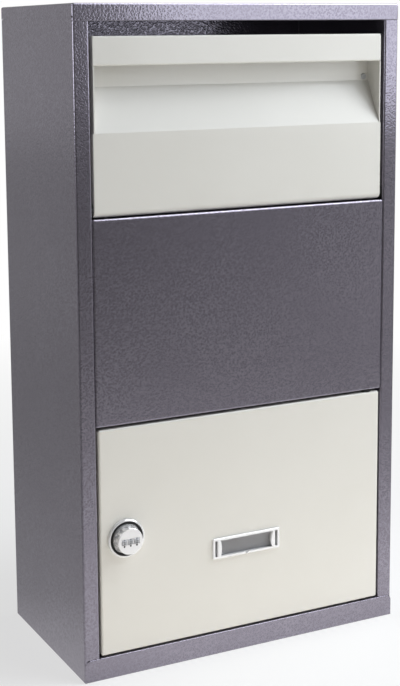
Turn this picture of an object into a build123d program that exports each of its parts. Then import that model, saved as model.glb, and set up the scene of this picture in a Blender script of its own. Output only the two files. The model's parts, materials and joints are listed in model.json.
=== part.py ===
from build123d import *
import os
from math import atan2, cos, degrees, pi, radians, sin, sqrt, tan

# Wall mounted mailbox in folded steel sheet: a tilting parcel flap above, a locked door below.
# Millimetres. X to the right, Y towards the wall, Z up. The origin is the centre of the wall holes,
# on the face that meets the wall.

# Sheet
SHEET = 1.0
BEND = 1.8                    # outside radius of a fold
EDGE_EASE = 0.7               # rounding of a cut edge
FIT_GAP = 0.3                 # between parts that pass each other
RUN_GAP = 0.08                # radial, between a pin and the hole that turns on it
SLIP_GAP = 0.1                # radial, round a fixed pin or screw

# Cabinet
HEIGHT = 600.0
WIDTH = 329.4                 # over the cap
DEPTH = 175.2                 # wall to cap front
STILE_WIDTH = 14.8
STILE_RETURN = 13.5
BACK_FOLD = 12.0
WALL_HOLE_RADIUS = 4.0
WALL_HOLE_SPACING_X = 200.0
WALL_HOLE_SPACING_Z = 400.0
CAP_FRONT_FLANGE = 15.0
CAP_SIDE_FLANGE = 11.5
CAP_LEDGE = 8.0
CAP_STEP = 0.2                # cap proud of the walls below it
CAP_LAP = 4.0                 # set-in top edge of a wall, below the cap
CAP_RELIEF_RADIUS = 1.2
BASE_FLANGE = 20.5
BASE_CORNER_RADIUS = 5.0
BASE_SIDE_FLANGE = 12.0
SILL_DEPTH = 14.0
MID_PANEL_HEIGHT = 183.9

# Flap
FLAP_TOP_GAP = 12.5
FLAP_FOOT_GAP = 0.8
FLAP_HEIGHT = 155.0
FLAP_SIDE_GAP = 2.5
FLAP_RECESS = 1.5             # flap face behind the stile face
FLAP_OPEN = 40.0              # degrees
BAND_HEIGHT = 25.0
BAND_CORNER_RADIUS = 2.5
BAND_HEM = 7.0
HEM_SPACING = 1.7             # between the middles of the hem's two leaves
HEM_BEND = 0.8
GRIP_DEPTH = 19.5
GRIP_BACK_HEIGHT = 18.5       # upright part of the recess, below the band
CREASE_HEIGHT = 72.5          # above the flap's foot
FLAP_SIDE_FOLD = 8.0
FOOT_RADIUS = 6.0             # rolled foot, round the hinge axis
FOOT_SWEEP = 75.0             # degrees of roll
CHEEK_EAR = 10.0
CHEEK_EAR_HEIGHT = 14.0
FLAP_RIVET_RISE = 3.5         # above the foot of the grip's back
STOP_TAB_LOW = 95.0           # from the hinge axis, along the cheek's rear edge
STOP_TAB_LENGTH = 28.0
STOP_TAB_WIDTH = 12.0
ROD_RADIUS = 2.5
BUSH_WALL = 1.5
BUSH_FLANGE = 1.0
BUSH_FLANGE_RADIUS = 6.0
CLIP_RADIUS = 5.0
CLIP_THICKNESS = 2.0
ROD_END = 1.5                 # rod past the clip
SPRING_WIRE = 1.2
SPRING_RADIUS = 4.0           # to the middle of the wire
SPRING_TURNS = 5
SPRING_PITCH = 1.9
SPRING_INSET = 3.0            # from the cheek to the upper leg
SPRING_UPPER_LEG = 14.0
SPRING_LOWER_LEG = 16.0
SPRING_HOOK_RADIUS = 1.8
SPRING_HOOK = 3.5
STOP_SLEEVE_RADIUS = 4.0
STOP_STUD_RADIUS = 2.0
STOP_STUD_LENGTH = 13.3
STOP_STUD_HEAD = 1.2

# Door
DOOR_SIDE_GAP = 2.0
DOOR_TOP_GAP = 2.4
DOOR_FOOT_GAP = 1.5
DOOR_DEPTH = 15.0
PIN_RADIUS = 2.5
PIN_HEAD_RADIUS = 3.8
PIN_HEAD = 2.0
PIN_REACH = 5.0               # past the sheet it turns in
PIN_INSET = 12.0              # from the door's right edge
HINGE_WASHER_RADIUS = 5.5
STRIKE_REACH = 6.0            # past the stile, behind the door
STRIKE_HEIGHT = 60.0
STRIKE_LAP = 9.0
RIVET_RADIUS = 1.6
RIVET_HEAD_RADIUS = 2.8
RIVET_HEAD = 0.8
RIVET_DOME = 0.6              # rounding of the head
RIVET_TAIL_RADIUS = 2.2
RIVET_TAIL = 1.2

# Lock
LOCK_INSET = 24.7             # from the door's left edge
LOCK_HEIGHT = 106.9           # above the door's foot
LOCK_FLANGE_RADIUS = 17.5
LOCK_FLANGE = 3.0
LOCK_SEAT_RADIUS = 16.0
LOCK_SEAT_DEPTH = 2.2
SEAL_DROP = 0.3               # seal behind the flange's front
SEAL_EDGE = 0.5
BARREL_RADIUS = 9.5
BARREL_FLAT = 8.0
SPINDLE_RADIUS = 4.0
SPINDLE_SQUARE = 5.0
NUT_ACROSS = 24.0
NUT_THICKNESS = 4.0
LOCK_WASHER_RADIUS = 13.0
LOCK_WASHER = 1.0
LOCK_WASHER_TEETH = 12
LOCK_WASHER_NOTCH = 3.2       # twice the notch's depth
LOCK_WASHER_NOTCH_WIDTH = 2.2
KNOB_BASE_RADIUS = 13.4
KNOB_FACE_RADIUS = 12.0
KNOB_HEIGHT = 9.9
KNOB_EDGE = 0.8
KNOB_RIM = 1.2                # plain edge in front of the flutes
KNOB_COLLAR = 3.2             # plain foot behind them
KNOB_FLUTES = 14
KNOB_FLUTE_RADIUS = 1.8
KNOB_FLUTE_DEPTH = 0.9
WHEEL_RADIUS = 4.2
WHEEL_WIDTH = 4.6
WHEEL_PITCH = 6.0
WHEEL_PROUD = 0.6
WHEEL_NOTCHES = 10
WHEEL_NOTCH_RADIUS = 0.45
AXLE_RADIUS = 1.0
AXLE_LENGTH = 20.0
CAM_REACH = 28.0
CAM_WIDTH = 14.0
CAM_TIP_RADIUS = 4.7
CAM_THICKNESS = 2.0
CAM_SCREW_RADIUS = 2.0
CAM_SCREW_LENGTH = 8.0
CAM_SCREW_HEAD_RADIUS = 4.5
CAM_SCREW_HEAD = 3.0

# Label holder
LABEL_WIDTH = 71.0
LABEL_HEIGHT = 19.5
LABEL_CENTRE_HEIGHT = 80.5    # above the door's foot
LABEL_RIM = 1.2               # past the door's cut-out
LABEL_PROUD = 1.8
LABEL_TUB_WALL = 1.0
LABEL_TUB_DEPTH = 3.5         # behind the door's face
LABEL_SLOT = 2.4
LABEL_BRIDGE = 3.4
LABEL_BRIDGE_BULGE = 1.4
LABEL_BRIDGE_THICKNESS = 3.3
LABEL_BRIDGE_ROUND = 1.2
LABEL_BARB = 0.7
LABEL_BARB_LENGTH = 10.0
LABEL_NOTCH_RADIUS = 1.8
CARD_THICKNESS = 0.5
WINDOW_THICKNESS = 1.0
LABEL_PLAY = 0.15

# Planes and edges that the pieces share
top = HEIGHT / 2
bottom = -HEIGHT / 2
front = -DEPTH
stile_face = front + CAP_STEP
return_rear = stile_face + STILE_RETURN
shell_half = WIDTH / 2 - CAP_STEP
inside_half = shell_half - SHEET
opening_half = shell_half - STILE_WIDTH
floor_top = bottom + SHEET
sill_top = bottom + BASE_FLANGE
cap_low = top - CAP_FRONT_FLANGE

flap_top = top - CAP_FRONT_FLANGE - FLAP_TOP_GAP
flap_foot = flap_top - FLAP_HEIGHT
flap_face = stile_face + FLAP_RECESS
flap_half = opening_half - FLAP_SIDE_GAP
cheek_outer = flap_half - SHEET
cheek_inner = cheek_outer - SHEET
band_foot = flap_top - BAND_HEIGHT
grip_back_foot = band_foot - GRIP_BACK_HEIGHT
crease = flap_foot + CREASE_HEIGHT
grip_face = flap_face + GRIP_DEPTH
grip_rear = grip_face + SHEET
hinge_y = flap_face + FOOT_RADIUS
hinge_z = flap_foot + FOOT_RADIUS

mid_top = flap_foot - FLAP_FOOT_GAP
mid_foot = mid_top - MID_PANEL_HEIGHT
mid_rear = return_rear
mid_rivet_y = (stile_face + mid_rear + BEND) / 2
mid_rivet_z = [mid_foot + MID_PANEL_HEIGHT * share for share in (0.2, 0.8)]

door_top = mid_foot - DOOR_TOP_GAP
door_foot = sill_top + DOOR_FOOT_GAP
door_face = stile_face
door_rear = door_face + DOOR_DEPTH
door_back_of_sheet = door_face + SHEET
door_half = opening_half - DOOR_SIDE_GAP
pin_x = door_half - PIN_INSET
pin_y = door_face + BEND + PIN_HEAD_RADIUS + FIT_GAP

lock_x = LOCK_INSET - door_half
lock_z = door_foot + LOCK_HEIGHT
strike_face = max(door_rear + FIT_GAP, return_rear + BEND)
strike_rear = strike_face + SHEET
cam_front = strike_rear + FIT_GAP
cam_rear = cam_front + CAM_THICKNESS
barrel_rear = cam_front - FIT_GAP
knob_base = door_face - LOCK_FLANGE + LOCK_SEAT_DEPTH - FIT_GAP
knob_face = knob_base - KNOB_HEIGHT
wheel_y = knob_face - WHEEL_PROUD + WHEEL_RADIUS
wheel_x = [lock_x + WHEEL_PITCH * step for step in (-1, 0, 1)]

label_z = door_foot + LABEL_CENTRE_HEIGHT


def facing(y):
    """Upright plane at depth y that looks to the front: its x is X, its y is Z."""
    return Plane.XZ.offset(-y)


def side_on(x):
    """Upright plane at x that looks to the right: its x is Y, its y is Z."""
    return Plane.YZ.offset(x)


def bent_strip(plane, *corners, radius=BEND - SHEET / 2):
    """Section of a folded sheet, drawn along the middle of its thickness."""
    with BuildSketch(plane) as strip:
        with BuildLine():
            FilletPolyline(*corners, radius=radius)
        trace(line_width=SHEET)
    return strip.sketch


def folded_pan(half_width, low, high, face, rim):
    """Sheet pan whose upright face has all four edges folded from y = face to y = rim."""
    with BuildPart() as pan:
        with BuildSketch(facing(face)):
            with Locations((0, (low + high) / 2)):
                RectangleRounded(2 * half_width, high - low, BEND)
        extrude(amount=face - rim)
        front_first = pan.faces().filter_by(Axis.Y).sort_by(Axis.Y)
        outside = front_first[0] if face < rim else front_first[-1]
        fillet(outside.edges(), BEND)
        front_first = pan.faces().filter_by(Axis.Y).sort_by(Axis.Y)
        mouth = front_first[-1] if face < rim else front_first[0]
        offset(amount=-SHEET, openings=mouth)
    return pan.part


def at_full_opening(out, up):
    """Where a point of the shut flap lies, given its place from the hinge axis when the flap is open."""
    turn = radians(FLAP_OPEN)
    return (hinge_y + out * cos(turn) + up * sin(turn), hinge_z - out * sin(turn) + up * cos(turn))


def round_bar(plane, centre, radius, start, end):
    """Cylinder square to the plane, from start to end along its normal."""
    with BuildPart() as bar:
        with BuildSketch(plane.offset(start)):
            with Locations(centre):
                Circle(radius)
        extrude(amount=end - start)
    return bar.part


def rivet(plane, centre, seat, grip):
    """Blind rivet: domed head out from the seat, shank through the sheets, tail behind them."""
    with BuildPart() as body:
        add(round_bar(plane, centre, RIVET_HEAD_RADIUS, seat, seat + RIVET_HEAD))
        fillet(body.faces().sort_by(Axis(plane.origin, plane.z_dir))[-1].edges(), RIVET_DOME)
        add(round_bar(plane, centre, RIVET_RADIUS, seat, seat - grip))
        add(round_bar(plane, centre, RIVET_TAIL_RADIUS, seat - grip, seat - grip - RIVET_TAIL))
    return body.part


def mirrored(part):
    """The left-hand twin of a right-hand piece."""
    return mirror(part, about=Plane.YZ, mode=Mode.PRIVATE)


# Spring path: lower leg, coil, upper leg and hook of the right-hand spring
spring_climb = SPRING_PITCH / (2 * pi)
spring_outer_x = cheek_inner - SPRING_INSET
spring_inner_x = spring_outer_x - SPRING_TURNS * SPRING_PITCH


def coil_point(turn):
    return Vector(
        spring_inner_x + spring_climb * turn,
        hinge_y + SPRING_RADIUS * cos(turn),
        hinge_z + SPRING_RADIUS * sin(turn),
    )


def coil_tangent(turn):
    return Vector(spring_climb, -SPRING_RADIUS * sin(turn), SPRING_RADIUS * cos(turn)).normalized()


leg_direction = coil_tangent(0)
lower_leg_end = coil_point(0) - leg_direction * SPRING_LOWER_LEG
upper_leg_end = coil_point(2 * pi * SPRING_TURNS) + leg_direction * SPRING_UPPER_LEG
hook_turn = radians(leg_direction.get_angle(Vector(1, 0, 0)))
hook_tangent_length = SPRING_HOOK_RADIUS * tan(hook_turn / 2)
hook_start = upper_leg_end + (leg_direction + Vector(1, 0, 0)) * hook_tangent_length
hook_end = hook_start + Vector(1, 0, 0) * SPRING_HOOK
leg_hole_radius = SPRING_WIRE / 2 + FIT_GAP
fold_leg_x = coil_point(0).X + (mid_top - SHEET / 2 - hinge_z) * leg_direction.X / leg_direction.Z


def biarc_joint(start, start_tangent, end, end_tangent):
    """Point where the two arcs meet that leave start and reach end along their tangents."""
    chord = end - start
    both = start_tangent + end_tangent
    square = 2 * start_tangent.dot(end_tangent) - 2
    linear = -2 * chord.dot(both)
    reach = (-linear - sqrt(linear ** 2 - 4 * square * chord.dot(chord))) / (2 * square)
    return (start + start_tangent * reach + end - end_tangent * reach) * 0.5


def torsion_spring():
    """Right-hand torsion spring, one wire."""
    quarter = pi / 2
    with BuildPart() as spring:
        with BuildLine() as wire_line:
            Line(lower_leg_end, coil_point(0))
            for step in range(4 * SPRING_TURNS):
                start, end = coil_point(step * quarter), coil_point((step + 1) * quarter)
                start_tangent = coil_tangent(step * quarter)
                end_tangent = coil_tangent((step + 1) * quarter)
                joint = biarc_joint(start, start_tangent, end, end_tangent)
                first = TangentArc(start, joint, tangent=start_tangent)
                TangentArc(joint, end, tangent=first % 1)
            Line(coil_point(2 * pi * SPRING_TURNS), upper_leg_end)
            TangentArc(upper_leg_end, hook_start, tangent=leg_direction)
            Line(hook_start, hook_end)
        with BuildSketch(Plane(origin=lower_leg_end, z_dir=leg_direction)):
            Circle(SPRING_WIRE / 2)
        sweep(path=wire_line.line)
    return spring.part


def spring_self_gap():
    """Least gap between the wire and itself, measured on points half a turn or more apart."""
    steps_per_turn = 36
    turns = [2 * pi * step / steps_per_turn for step in range(SPRING_TURNS * steps_per_turn + 1)]
    points = [coil_point(turn) for turn in turns]
    pairs = [
        (points[low] - points[high]).length
        for low in range(len(points))
        for high in range(low + steps_per_turn // 2, len(points))
    ]
    return min(pairs) - SPRING_WIRE


os.makedirs("parts", exist_ok=True)

# Cabinet sheets


def side_panel(hand):
    """Side wall folded round into the front stile and its return, with its top edge set in behind the cap.
    Hand is -1 left, 1 right."""

    def section(low, half, face, rear):
        return_x = hand * (opening_half + SHEET / 2)
        wall_x = hand * (half - SHEET / 2)
        corners = [(return_x, return_rear), (return_x, face + SHEET / 2), (wall_x, face + SHEET / 2), (wall_x, rear)]
        return bent_strip(Plane.XY.offset(low), *corners)

    lap_low = cap_low - CAP_LAP
    with BuildPart() as panel:
        extrude(section(bottom, shell_half, stile_face, 0), amount=HEIGHT - CAP_SIDE_FLANGE - FIT_GAP)
        with BuildSketch(Plane.XY.offset(cap_low - FIT_GAP)):
            with Locations((0, front + (BEND + FIT_GAP) / 2)):
                Rectangle(WIDTH, BEND + FIT_GAP)
        extrude(amount=CAP_FRONT_FLANGE, mode=Mode.SUBTRACT)
        set_in = section(lap_low, WIDTH / 2 - SHEET, front + SHEET, -BACK_FOLD - FIT_GAP)
        extrude(set_in, amount=top - BEND - lap_low)
        with BuildSketch(Plane.XY.offset(bottom)):
            with Locations((0, front / 2)):
                Rectangle(2 * inside_half, DEPTH)
        extrude(amount=SHEET, mode=Mode.SUBTRACT)
        hole_start = hand * (opening_half - SHEET)
        hole_end = hand * (opening_half + 2 * SHEET)
        bush_radius = ROD_RADIUS + BUSH_WALL + SLIP_GAP
        add(round_bar(side_on(0), (hinge_y, hinge_z), bush_radius, hole_start, hole_end), mode=Mode.SUBTRACT)
        for z in mid_rivet_z:
            hole = round_bar(side_on(0), (mid_rivet_y, z), RIVET_RADIUS + SLIP_GAP, hole_start, hole_end)
            add(hole, mode=Mode.SUBTRACT)
    return panel.part


strike_rivet_y = return_rear - STRIKE_LAP / 2
strike_rivet_z = [lock_z + STRIKE_HEIGHT * share for share in (-0.3, 0.3)]

with BuildPart() as left_side_panel:
    add(side_panel(-1))
    for z in strike_rivet_z:
        add(
            round_bar(
                side_on(0),
                (strike_rivet_y, z),
                RIVET_RADIUS + SLIP_GAP,
                -opening_half - 2 * SHEET,
                -opening_half + SHEET,
            ),
            mode=Mode.SUBTRACT,
        )
left_side_panel.part.label = "left_side_panel"
export_step(left_side_panel.part, "parts/left_side_panel.step")

with BuildPart() as right_side_panel:
    add(side_panel(1))
right_side_panel.part.label = "right_side_panel"
export_step(right_side_panel.part, "parts/right_side_panel.step")

with BuildPart() as back_panel:
    add(folded_pan(inside_half, floor_top, top - SHEET, 0, -BACK_FOLD))
    with BuildSketch(facing(0)):
        with GridLocations(WALL_HOLE_SPACING_X, WALL_HOLE_SPACING_Z, 2, 2):
            Circle(WALL_HOLE_RADIUS)
    extrude(amount=SHEET, mode=Mode.SUBTRACT)
back_panel.part.label = "back_panel"
export_step(back_panel.part, "parts/back_panel.step")

ledge_half = opening_half - FIT_GAP

with BuildPart() as top_cap:
    with BuildSketch(Plane.XY.offset(cap_low)):
        with Locations((0, front / 2)):
            Rectangle(WIDTH, DEPTH)
    extrude(amount=CAP_FRONT_FLANGE)
    fillet(top_cap.edges().filter_by(Axis.Z).group_by(Axis.Y)[0], BEND)
    fillet(top_cap.faces().sort_by(Axis.Z)[-1].edges().sort_by(Axis.Y)[:-1], BEND)
    underside = top_cap.faces().sort_by(Axis.Z)[0]
    rear = top_cap.faces().sort_by(Axis.Y)[-1]
    offset(amount=-SHEET, openings=[underside, rear])
    with BuildSketch(Plane.XY.offset(cap_low)):
        with Locations((0, (front + BEND) / 2)):
            Rectangle(2 * WIDTH, DEPTH - BEND)
    extrude(amount=CAP_FRONT_FLANGE - CAP_SIDE_FLANGE, mode=Mode.SUBTRACT)
    with BuildSketch(Plane.XY.offset(cap_low)):
        with Locations((0, front + SHEET / 2 + CAP_LEDGE / 2)):
            Rectangle(2 * ledge_half, CAP_LEDGE)
    extrude(amount=SHEET)
    fillet(top_cap.edges().filter_by(Axis.X).group_by(Axis.Z)[0].sort_by(Axis.Y)[0], EDGE_EASE)
    relief_place = (front + BEND, top - CAP_SIDE_FLANGE)
    add(round_bar(side_on(0), relief_place, CAP_RELIEF_RADIUS, -WIDTH, -inside_half), mode=Mode.SUBTRACT)
    add(round_bar(side_on(0), relief_place, CAP_RELIEF_RADIUS, inside_half, WIDTH), mode=Mode.SUBTRACT)
top_cap.part.label = "top_cap"
export_step(top_cap.part, "parts/top_cap.step")

base_flange_start = stile_face + BEND
base_flange_end = -BACK_FOLD - FIT_GAP

with BuildPart() as bottom_tray:
    with BuildSketch(Plane.XY.offset(bottom)):
        with Locations((0, front / 2)):
            Rectangle(2 * inside_half, DEPTH)
    extrude(amount=SHEET)
    with BuildSketch(facing(stile_face)):
        with Locations((0, bottom + BASE_FLANGE / 2)):
            flange = Rectangle(2 * shell_half, BASE_FLANGE)
        fillet(flange.vertices().group_by(Axis.Y)[-1], BASE_CORNER_RADIUS)
    extrude(amount=SHEET)
    with BuildSketch(Plane.XY.offset(sill_top - SHEET)):
        with Locations((0, stile_face + SILL_DEPTH / 2)):
            Rectangle(2 * ledge_half, SILL_DEPTH)
    extrude(amount=SHEET)
    with BuildSketch(side_on(inside_half - SHEET)):
        with Locations(((base_flange_start + base_flange_end) / 2, bottom + BASE_SIDE_FLANGE / 2)):
            Rectangle(base_flange_end - base_flange_start, BASE_SIDE_FLANGE)
    extrude(amount=SHEET)
    with BuildSketch(side_on(SHEET - inside_half)):
        with Locations(((base_flange_start + base_flange_end) / 2, bottom + BASE_SIDE_FLANGE / 2)):
            Rectangle(base_flange_end - base_flange_start, BASE_SIDE_FLANGE)
    extrude(amount=-SHEET)
    add(
        round_bar(Plane.XY, (pin_x, pin_y), PIN_RADIUS + RUN_GAP, sill_top - 2 * SHEET, sill_top + SHEET),
        mode=Mode.SUBTRACT,
    )
    fillet(bottom_tray.faces().sort_by(Axis.Y)[0].edges(), EDGE_EASE)
bottom_tray.part.label = "bottom_tray"
export_step(bottom_tray.part, "parts/bottom_tray.step")

with BuildPart() as mid_panel:
    add(folded_pan(opening_half, mid_foot, mid_top, stile_face, mid_rear))
    add(
        round_bar(Plane.XY, (pin_x, pin_y), PIN_RADIUS + RUN_GAP, mid_foot - SHEET, mid_foot + 2 * SHEET),
        mode=Mode.SUBTRACT,
    )
    for hand in (-1, 1):
        leg_place = (hand * fold_leg_x, hinge_y + SPRING_RADIUS)
        add(
            round_bar(Plane.XY, leg_place, leg_hole_radius, mid_top - 2 * SHEET, mid_top + SHEET),
            mode=Mode.SUBTRACT,
        )
        for z in mid_rivet_z:
            add(
                round_bar(
                    side_on(0),
                    (mid_rivet_y, z),
                    RIVET_RADIUS + SLIP_GAP,
                    hand * (opening_half - 2 * SHEET),
                    hand * (opening_half + SHEET),
                ),
                mode=Mode.SUBTRACT,
            )
mid_panel.part.label = "mid_panel"
export_step(mid_panel.part, "parts/mid_panel.step")

with BuildPart() as mid_panel_rivets:
    for z in mid_rivet_z:
        right_rivet = rivet(-side_on(0), (mid_rivet_y, -z), -(opening_half - SHEET), 2 * SHEET)
        add(right_rivet)
        add(mirrored(right_rivet))
mid_panel_rivets.part.label = "mid_panel_rivets"
export_step(mid_panel_rivets.part, "parts/mid_panel_rivets.step")

# Flap


def flap_section(plane):
    """Folded sheet of the flap: hem, band, pocket top, back of the grip, slope, panel and rolled foot."""
    middle = flap_face + SHEET / 2
    hem_y = middle + HEM_SPACING
    fold = BEND - SHEET / 2
    with BuildSketch(plane) as section:
        with BuildLine():
            FilletPolyline(
                (hem_y, band_foot + BAND_HEM),
                (hem_y, band_foot + SHEET / 2),
                (middle, band_foot + SHEET / 2),
                (middle, flap_top - SHEET / 2),
                (grip_face + SHEET / 2, flap_top - SHEET / 2),
                (grip_face + SHEET / 2, grip_back_foot),
                (middle, crease),
                (middle, hinge_z),
                radius=[HEM_BEND, HEM_BEND, fold, fold, fold, fold],
            )
            CenterArc((hinge_y, hinge_z), FOOT_RADIUS - SHEET / 2, 180, FOOT_SWEEP)
        trace(line_width=SHEET)
    return section.sketch


rivet_x = cheek_inner - CHEEK_EAR / 2
rivet_z = grip_back_foot + FLAP_RIVET_RISE

with BuildPart() as flap_front:
    extrude(flap_section(side_on(-flap_half)), amount=2 * flap_half)
    for hand in (-1, 1):
        # The recess and its pocket end at the cheeks, the band covers their front edges.
        with BuildSketch(side_on(hand * cheek_inner)):
            with Locations((flap_face + SHEET + DEPTH / 2, crease + HEIGHT / 2)):
                Rectangle(DEPTH, HEIGHT)
            with Locations((flap_face, crease)):
                Rectangle(DEPTH, band_foot - crease, align=(Align.CENTER, Align.MIN))
        extrude(amount=hand * 2 * SHEET, mode=Mode.SUBTRACT)
        with BuildSketch(side_on(hand * cheek_outer)):
            with Locations((flap_face, crease)):
                Rectangle(DEPTH, HEIGHT, align=(Align.CENTER, Align.MIN))
        extrude(amount=hand * SHEET, mode=Mode.SUBTRACT)
        with BuildSketch(side_on(hand * cheek_outer)):
            with Locations((flap_face, hinge_z + FOOT_RADIUS)):
                Rectangle(FLAP_SIDE_FOLD, crease - hinge_z - FOOT_RADIUS, align=(Align.MIN, Align.MIN))
        extrude(amount=hand * SHEET)
        with BuildSketch(facing(flap_face)):
            round_x = hand * (cheek_outer - BAND_CORNER_RADIUS)
            round_z = flap_top - BAND_CORNER_RADIUS
            with Locations((round_x + hand * BAND_CORNER_RADIUS / 2, round_z + BAND_CORNER_RADIUS / 2)):
                Rectangle(BAND_CORNER_RADIUS, BAND_CORNER_RADIUS)
            with Locations((round_x, round_z)):
                Circle(BAND_CORNER_RADIUS, mode=Mode.SUBTRACT)
        extrude(amount=-SHEET, mode=Mode.SUBTRACT)
        rivet_place = (hand * rivet_x, rivet_z)
        add(
            round_bar(facing(0), rivet_place, RIVET_RADIUS + SLIP_GAP, -grip_rear, -grip_face),
            mode=Mode.SUBTRACT,
        )
    panel_edges = flap_front.edges().filter_by(Axis.Z).group_by(Axis.Y)[0].sort_by(Axis.X)
    fillet([panel_edges[0], panel_edges[-1]], EDGE_EASE)
flap_front.part.label = "flap_front"
export_step(flap_front.part, "parts/flap_front.step")

hub_radius = FOOT_RADIUS - SHEET - FIT_GAP
tab_out = return_rear - hinge_y + FIT_GAP
cheek_edge_out = tab_out + SHEET
cheek_radius = sqrt((grip_rear - hinge_y) ** 2 + (flap_top - hinge_z) ** 2)
cheek_edge_up = sqrt(cheek_radius ** 2 - cheek_edge_out ** 2)
arc_start = degrees(atan2(flap_top - hinge_z, grip_rear - hinge_y))
rear_corner = at_full_opening(cheek_edge_out, cheek_edge_up)
arc_end = degrees(atan2(rear_corner[1] - hinge_z, rear_corner[0] - hinge_y))


def cheek():
    """Right-hand cheek: sector plate with a hinge hole, a riveted ear and a stop tab."""
    with BuildPart() as plate:
        with BuildSketch(side_on(cheek_inner)):
            with BuildLine():
                CenterArc((hinge_y, hinge_z), cheek_radius, arc_start, arc_end - arc_start)
                Polyline(
                    (grip_rear, flap_top),
                    (flap_face + SHEET, flap_top),
                    (flap_face + SHEET, band_foot),
                    (flap_face, band_foot),
                    (flap_face, crease),
                    (flap_face + SHEET, crease),
                    (flap_face + SHEET, hinge_z),
                    (hinge_y - hub_radius, hinge_z),
                )
                ThreePointArc(
                    (hinge_y - hub_radius, hinge_z),
                    (hinge_y, hinge_z - hub_radius),
                    (hinge_y + hub_radius, hinge_z),
                )
                Polyline(
                    (hinge_y + hub_radius, hinge_z),
                    at_full_opening(cheek_edge_out, 2 * FOOT_RADIUS),
                    rear_corner,
                )
            make_face()
            with Locations((hinge_y, hinge_z)):
                Circle(ROD_RADIUS + RUN_GAP, mode=Mode.SUBTRACT)
            with Locations((hook_start.Y, hook_start.Z)):
                Circle(leg_hole_radius, mode=Mode.SUBTRACT)
        extrude(amount=SHEET)
        with BuildSketch(side_on(cheek_inner)):
            with BuildLine():
                Polyline(
                    at_full_opening(tab_out, STOP_TAB_LOW),
                    at_full_opening(cheek_edge_out, STOP_TAB_LOW),
                    at_full_opening(cheek_edge_out, STOP_TAB_LOW + STOP_TAB_LENGTH),
                    at_full_opening(tab_out, STOP_TAB_LOW + STOP_TAB_LENGTH),
                    close=True,
                )
            make_face()
        extrude(amount=SHEET + STOP_TAB_WIDTH)
        with BuildSketch(facing(grip_rear)):
            with Locations((cheek_inner, rivet_z)):
                Rectangle(CHEEK_EAR, CHEEK_EAR_HEIGHT, align=(Align.MAX, Align.CENTER))
        extrude(amount=-SHEET)
        ear_hole_start = -grip_rear - SHEET
        add(
            round_bar(facing(0), (rivet_x, rivet_z), RIVET_RADIUS + SLIP_GAP, ear_hole_start, -grip_rear),
            mode=Mode.SUBTRACT,
        )
    return plate.part


with BuildPart() as flap_right_cheek:
    add(cheek())
flap_right_cheek.part.label = "flap_right_cheek"
export_step(flap_right_cheek.part, "parts/flap_right_cheek.step")

with BuildPart() as flap_left_cheek:
    add(mirrored(flap_right_cheek.part))
flap_left_cheek.part.label = "flap_left_cheek"
export_step(flap_left_cheek.part, "parts/flap_left_cheek.step")

with BuildPart() as flap_rivets:
    right_rivet = rivet(facing(0), (rivet_x, rivet_z), -grip_face, 2 * SHEET)
    add(right_rivet)
    add(mirrored(right_rivet))
flap_rivets.part.label = "flap_rivets"
export_step(flap_rivets.part, "parts/flap_rivets.step")

bush_tail = opening_half + 2 * SHEET
clip_outer = bush_tail + CLIP_THICKNESS
rod_half = clip_outer + ROD_END
hinge_place = (hinge_y, hinge_z)

with BuildPart() as flap_hinge_rod:
    add(round_bar(side_on(0), hinge_place, ROD_RADIUS, -rod_half, rod_half))
    chamfer(flap_hinge_rod.edges().filter_by(GeomType.CIRCLE), EDGE_EASE)
flap_hinge_rod.part.label = "flap_hinge_rod"
export_step(flap_hinge_rod.part, "parts/flap_hinge_rod.step")

with BuildPart() as flap_hinge_bushes:
    for hand in (-1, 1):
        flange_start = hand * (opening_half - BUSH_FLANGE)
        add(round_bar(side_on(0), hinge_place, BUSH_FLANGE_RADIUS, flange_start, hand * opening_half))
        add(round_bar(side_on(0), hinge_place, ROD_RADIUS + BUSH_WALL, flange_start, hand * bush_tail))
        bore = round_bar(side_on(0), hinge_place, ROD_RADIUS + SLIP_GAP, flange_start, hand * bush_tail)
        add(bore, mode=Mode.SUBTRACT)
flap_hinge_bushes.part.label = "flap_hinge_bushes"
export_step(flap_hinge_bushes.part, "parts/flap_hinge_bushes.step")

with BuildPart() as flap_rod_clips:
    for hand in (-1, 1):
        add(round_bar(side_on(0), hinge_place, CLIP_RADIUS, hand * bush_tail, hand * clip_outer))
        add(
            round_bar(side_on(0), hinge_place, ROD_RADIUS, hand * bush_tail, hand * clip_outer),
            mode=Mode.SUBTRACT,
        )
    chamfer(flap_rod_clips.faces().sort_by(Axis.X)[-1].outer_wire().edges(), EDGE_EASE)
    chamfer(flap_rod_clips.faces().sort_by(Axis.X)[0].outer_wire().edges(), EDGE_EASE)
flap_rod_clips.part.label = "flap_rod_clips"
export_step(flap_rod_clips.part, "parts/flap_rod_clips.step")

with BuildPart() as flap_spring_right:
    add(torsion_spring())
flap_spring_right.part.label = "flap_spring_right"
export_step(flap_spring_right.part, "parts/flap_spring_right.step")

with BuildPart() as flap_spring_left:
    add(mirrored(flap_spring_right.part))
flap_spring_left.part.label = "flap_spring_left"
export_step(flap_spring_left.part, "parts/flap_spring_left.step")

stop_place = at_full_opening(
    cheek_edge_out + FIT_GAP + STOP_SLEEVE_RADIUS,
    STOP_TAB_LOW + STOP_TAB_LENGTH / 2,
)
stud_end = inside_half - STOP_STUD_LENGTH
sleeve_end = stud_end + STOP_STUD_HEAD

with BuildPart() as flap_stop_studs:
    for hand in (-1, 1):
        add(round_bar(side_on(0), stop_place, STOP_STUD_RADIUS, hand * stud_end, hand * inside_half))
        head_radius = (STOP_STUD_RADIUS + STOP_SLEEVE_RADIUS) / 2
        add(round_bar(side_on(0), stop_place, head_radius, hand * stud_end, hand * sleeve_end))
flap_stop_studs.part.label = "flap_stop_studs"
export_step(flap_stop_studs.part, "parts/flap_stop_studs.step")

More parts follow.
